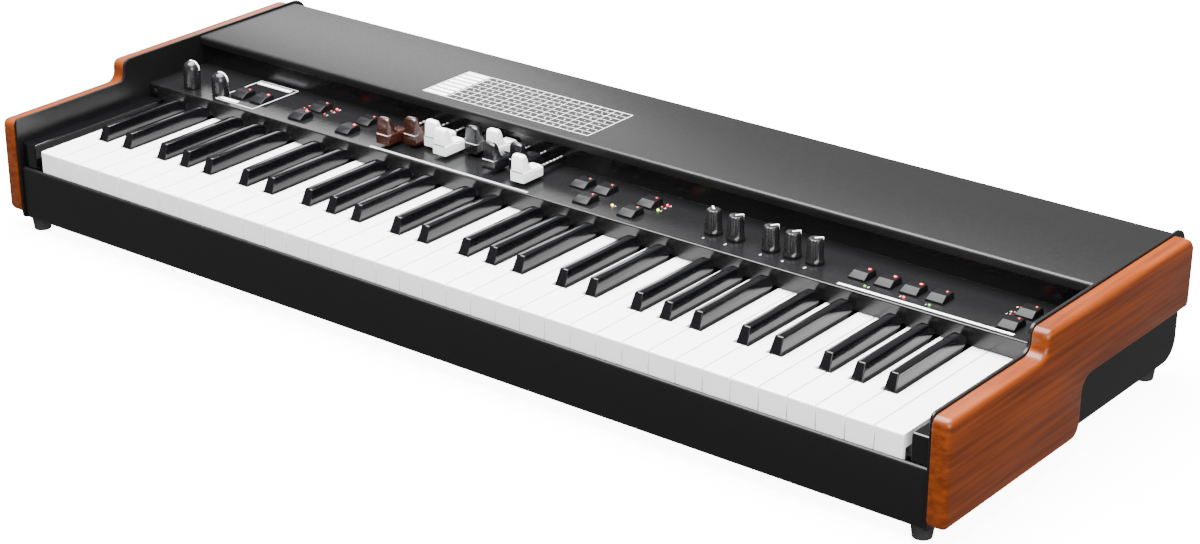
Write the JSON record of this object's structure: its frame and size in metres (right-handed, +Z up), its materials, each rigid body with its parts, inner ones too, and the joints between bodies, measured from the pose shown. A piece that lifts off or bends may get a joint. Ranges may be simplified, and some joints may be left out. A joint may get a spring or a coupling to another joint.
{
  "type": "electronic organ",
  "caption": "Portable electronic organ: full keyboard in a black case with wood ends, drawbars, rotary knobs and buttons on a control panel.",
  "frame": {"origin": "centre of the footprint on the surface the organ stands on", "axes": "+X along the keyboard to the player's right, +Y away from the player, +Z up"},
  "size_m": [0.923, 0.3536, 0.1175],
  "materials": {
    "case": "satin black powder coat",
    "panel": "gloss black",
    "wood": "satin lacquer",
    "steel": "zinc plated",
    "board": "green solder mask",
    "rubber": "matt",
    "white_keys": "gloss",
    "black_keys": "satin",
    "drawbar_brown": "gloss",
    "drawbar_white": "gloss",
    "drawbar_black": "gloss",
    "knobs": "satin dark grey",
    "buttons": "satin"
  },
  "bodies": {
    "case": {"chassis_tray": "case", "top_cover": "case", "control_panel": "panel", "left_end_plate": "case", "right_end_plate": "case", "left_wood_cheek": "wood", "right_wood_cheek": "wood", "left_key_block": "black_keys", "right_key_block": "black_keys", "keybed_frame": "steel", "drawbar_frame": "steel", "key_contact_board": "board", "main_circuit_board": "board", "front_left_foot": "rubber", "front_right_foot": "rubber", "rear_left_foot": "rubber", "rear_right_foot": "rubber"},
    "drawbar_1": {"drawbar_1": "drawbar_brown"},
    "drawbar_2": {"drawbar_2": "drawbar_brown"},
    "drawbar_3": {"drawbar_3": "drawbar_white"},
    "drawbar_4": {"drawbar_4": "drawbar_white"},
    "drawbar_5": {"drawbar_5": "drawbar_black"},
    "drawbar_6": {"drawbar_6": "drawbar_white"},
    "drawbar_7": {"drawbar_7": "drawbar_black"},
    "drawbar_8": {"drawbar_8": "drawbar_black"},
    "drawbar_9": {"drawbar_9": "drawbar_white"},
    "white_keys_C2_to_E6": {"white_keys_C2_to_E6": "white_keys"},
    "black_keys_C2_to_D6": {"black_keys_C2_to_D6": "black_keys"},
    "key_C7": {"key_C7": "white_keys"},
    "key_B6": {"key_B6": "white_keys"},
    "key_A6": {"key_A6": "white_keys"},
    "key_G6": {"key_G6": "white_keys"},
    "key_F6": {"key_F6": "white_keys"},
    "key_Asharp6": {"key_Asharp6": "black_keys"},
    "key_Gsharp6": {"key_Gsharp6": "black_keys"},
    "key_Fsharp6": {"key_Fsharp6": "black_keys"},
    "rotary_knob_1": {"rotary_knob_1": "knobs"},
    "rotary_knob_2": {"rotary_knob_2": "knobs"},
    "rotary_knob_3": {"rotary_knob_3": "knobs"},
    "rotary_knob_4": {"rotary_knob_4": "knobs"},
    "rotary_knob_5": {"rotary_knob_5": "knobs"},
    "domed_knob_1": {"domed_knob_1": "knobs"},
    "domed_knob_2": {"domed_knob_2": "knobs"},
    "button_1": {"button_1": "buttons"},
    "button_2": {"button_2": "buttons"},
    "button_3": {"button_3": "buttons"},
    "button_4": {"button_4": "buttons"},
    "button_5": {"button_5": "buttons"},
    "button_6": {"button_6": "buttons"},
    "button_7": {"button_7": "buttons"},
    "button_8": {"button_8": "buttons"},
    "button_9": {"button_9": "buttons"},
    "button_10": {"button_10": "buttons"},
    "button_11": {"button_11": "buttons"},
    "button_12": {"button_12": "buttons"},
    "button_13": {"button_13": "buttons"},
    "button_14": {"button_14": "buttons"},
    "button_15": {"button_15": "buttons"},
    "button_16": {"button_16": "buttons"},
    "button_17": {"button_17": "buttons"}
  },
  "joints": [
    {"name": "drawbar_1_slide", "type": "slide", "parent": "case", "child": "drawbar_1", "axis": [0, 1, 0], "range_m": [-0.0003, 0.0357]},
    {"name": "drawbar_2_slide", "type": "slide", "parent": "case", "child": "drawbar_2", "axis": [0, 1, 0], "range_m": [-0.0141, 0.0219]},
    {"name": "drawbar_3_slide", "type": "slide", "parent": "case", "child": "drawbar_3", "axis": [0, 1, 0], "range_m": [-0.0198, 0.0162]},
    {"name": "drawbar_4_slide", "type": "slide", "parent": "case", "child": "drawbar_4", "axis": [0, 1, 0], "range_m": [-0.0105, 0.0255]},
    {"name": "drawbar_5_slide", "type": "slide", "parent": "case", "child": "drawbar_5", "axis": [0, 1, 0], "range_m": [-0.0296, 0.0064]},
    {"name": "drawbar_6_slide", "type": "slide", "parent": "case", "child": "drawbar_6", "axis": [0, 1, 0], "range_m": [-0.035, 0.001]},
    {"name": "drawbar_7_slide", "type": "slide", "parent": "case", "child": "drawbar_7", "axis": [0, 1, 0], "range_m": [-0.0097, 0.0263]},
    {"name": "drawbar_8_slide", "type": "slide", "parent": "case", "child": "drawbar_8", "axis": [0, 1, 0], "range_m": [-0.0223, 0.0137]},
    {"name": "drawbar_9_slide", "type": "slide", "parent": "case", "child": "drawbar_9", "axis": [0, 1, 0], "range_m": [-0.0033, 0.0327]},
    {"name": "white_keys_C2_to_E6_press", "type": "hinge", "parent": "case", "child": "white_keys_C2_to_E6", "pos_m": [0, 0.06675, 0.063], "axis": [1, 0, 0], "range_deg": [0, 2.4], "stiffness_Nm_per_rad": 40, "springref_deg": -14.32},
    {"name": "black_keys_C2_to_D6_press", "type": "hinge", "parent": "case", "child": "black_keys_C2_to_D6", "pos_m": [0, 0.06675, 0.05], "axis": [1, 0, 0], "range_deg": [0, 2.4], "stiffness_Nm_per_rad": 30, "springref_deg": -14.32},
    {"name": "key_C7_press", "type": "hinge", "parent": "case", "child": "key_C7", "pos_m": [0, 0.06675, 0.063], "axis": [1, 0, 0], "range_deg": [0, 2.4], "stiffness_Nm_per_rad": 1.2, "springref_deg": -14.32},
    {"name": "key_B6_press", "type": "hinge", "parent": "case", "child": "key_B6", "pos_m": [0, 0.06675, 0.063], "axis": [1, 0, 0], "range_deg": [0, 2.4], "stiffness_Nm_per_rad": 1.2, "springref_deg": -14.32},
    {"name": "key_A6_press", "type": "hinge", "parent": "case", "child": "key_A6", "pos_m": [0, 0.06675, 0.063], "axis": [1, 0, 0], "range_deg": [0, 2.4], "stiffness_Nm_per_rad": 1.2, "springref_deg": -14.32},
    {"name": "key_G6_press", "type": "hinge", "parent": "case", "child": "key_G6", "pos_m": [0, 0.06675, 0.063], "axis": [1, 0, 0], "range_deg": [0, 2.4], "stiffness_Nm_per_rad": 1.2, "springref_deg": -14.32},
    {"name": "key_F6_press", "type": "hinge", "parent": "case", "child": "key_F6", "pos_m": [0, 0.06675, 0.063], "axis": [1, 0, 0], "range_deg": [0, 2.4], "stiffness_Nm_per_rad": 1.2, "springref_deg": -14.32},
    {"name": "key_Asharp6_press", "type": "hinge", "parent": "case", "child": "key_Asharp6", "pos_m": [0, 0.06675, 0.05], "axis": [1, 0, 0], "range_deg": [0, 2.4], "stiffness_Nm_per_rad": 1, "springref_deg": -14.32},
    {"name": "key_Gsharp6_press", "type": "hinge", "parent": "case", "child": "key_Gsharp6", "pos_m": [0, 0.06675, 0.05], "axis": [1, 0, 0], "range_deg": [0, 2.4], "stiffness_Nm_per_rad": 1, "springref_deg": -14.32},
    {"name": "key_Fsharp6_press", "type": "hinge", "parent": "case", "child": "key_Fsharp6", "pos_m": [0, 0.06675, 0.05], "axis": [1, 0, 0], "range_deg": [0, 2.4], "stiffness_Nm_per_rad": 1, "springref_deg": -14.32},
    {"name": "rotary_knob_1_turn", "type": "hinge", "parent": "case", "child": "rotary_knob_1", "pos_m": [0.143, 0.00375, 0.0906], "axis": [0, 0, 1], "range_deg": [-195, 105]},
    {"name": "rotary_knob_2_turn", "type": "hinge", "parent": "case", "child": "rotary_knob_2", "pos_m": [0.1635, 0.00375, 0.0906], "axis": [0, 0, 1], "range_deg": [-115, 185]},
    {"name": "rotary_knob_3_turn", "type": "hinge", "parent": "case", "child": "rotary_knob_3", "pos_m": [0.1956, 0.00375, 0.0906], "axis": [0, 0, 1], "range_deg": [-115, 185]},
    {"name": "rotary_knob_4_turn", "type": "hinge", "parent": "case", "child": "rotary_knob_4", "pos_m": [0.2152, 0.00375, 0.0906], "axis": [0, 0, 1], "range_deg": [-115, 185]},
    {"name": "rotary_knob_5_turn", "type": "hinge", "parent": "case", "child": "rotary_knob_5", "pos_m": [0.2353, 0.00375, 0.0906], "axis": [0, 0, 1], "range_deg": [-115, 185]},
    {"name": "domed_knob_1_turn", "type": "hinge", "parent": "case", "child": "domed_knob_1", "pos_m": [-0.406, -0.00825, 0.0906], "axis": [0, 0, 1], "range_deg": [-115, 185]},
    {"name": "domed_knob_2_turn", "type": "hinge", "parent": "case", "child": "domed_knob_2", "pos_m": [-0.3735, -0.00625, 0.0906], "axis": [0, 0, 1], "range_deg": [-150, 150]},
    {"name": "button_1_press", "type": "slide", "parent": "case", "child": "button_1", "axis": [0, 0, -1], "range_m": [0, 0.0015], "stiffness_N_per_m": 400, "springref_m": -0.001},
    {"name": "button_2_press", "type": "slide", "parent": "case", "child": "button_2", "axis": [0, 0, -1], "range_m": [0, 0.0015], "stiffness_N_per_m": 400, "springref_m": -0.001},
    {"name": "button_3_press", "type": "slide", "parent": "case", "child": "button_3", "axis": [0, 0, -1], "range_m": [0, 0.0015], "stiffness_N_per_m": 400, "springref_m": -0.001},
    {"name": "button_4_press", "type": "slide", "parent": "case", "child": "button_4", "axis": [0, 0, -1], "range_m": [0, 0.0015], "stiffness_N_per_m": 400, "springref_m": -0.001},
    {"name": "button_5_press", "type": "slide", "parent": "case", "child": "button_5", "axis": [0, 0, -1], "range_m": [0, 0.0015], "stiffness_N_per_m": 400, "springref_m": -0.001},
    {"name": "button_6_press", "type": "slide", "parent": "case", "child": "button_6", "axis": [0, 0, -1], "range_m": [0, 0.0015], "stiffness_N_per_m": 400, "springref_m": -0.001},
    {"name": "button_7_press", "type": "slide", "parent": "case", "child": "button_7", "axis": [0, 0, -1], "range_m": [0, 0.0015], "stiffness_N_per_m": 400, "springref_m": -0.001},
    {"name": "button_8_press", "type": "slide", "parent": "case", "child": "button_8", "axis": [0, 0, -1], "range_m": [0, 0.0015], "stiffness_N_per_m": 400, "springref_m": -0.001},
    {"name": "button_9_press", "type": "slide", "parent": "case", "child": "button_9", "axis": [0, 0, -1], "range_m": [0, 0.0015], "stiffness_N_per_m": 400, "springref_m": -0.001},
    {"name": "button_10_press", "type": "slide", "parent": "case", "child": "button_10", "axis": [0, 0, -1], "range_m": [0, 0.0015], "stiffness_N_per_m": 400, "springref_m": -0.001},
    {"name": "button_11_press", "type": "slide", "parent": "case", "child": "button_11", "axis": [0, 0, -1], "range_m": [0, 0.0015], "stiffness_N_per_m": 400, "springref_m": -0.001},
    {"name": "button_12_press", "type": "slide", "parent": "case", "child": "button_12", "axis": [0, 0, -1], "range_m": [0, 0.0015], "stiffness_N_per_m": 400, "springref_m": -0.001},
    {"name": "button_13_press", "type": "slide", "parent": "case", "child": "button_13", "axis": [0, 0, -1], "range_m": [0, 0.0015], "stiffness_N_per_m": 400, "springref_m": -0.001},
    {"name": "button_14_press", "type": "slide", "parent": "case", "child": "button_14", "axis": [0, 0, -1], "range_m": [0, 0.0015], "stiffness_N_per_m": 400, "springref_m": -0.001},
    {"name": "button_15_press", "type": "slide", "parent": "case", "child": "button_15", "axis": [0, 0, -1], "range_m": [0, 0.0015], "stiffness_N_per_m": 400, "springref_m": -0.001},
    {"name": "button_16_press", "type": "slide", "parent": "case", "child": "button_16", "axis": [0, 0, -1], "range_m": [0, 0.0015], "stiffness_N_per_m": 400, "springref_m": -0.001},
    {"name": "button_17_press", "type": "slide", "parent": "case", "child": "button_17", "axis": [0, 0, -1], "range_m": [0, 0.0015], "stiffness_N_per_m": 400, "springref_m": -0.001}
  ]
}
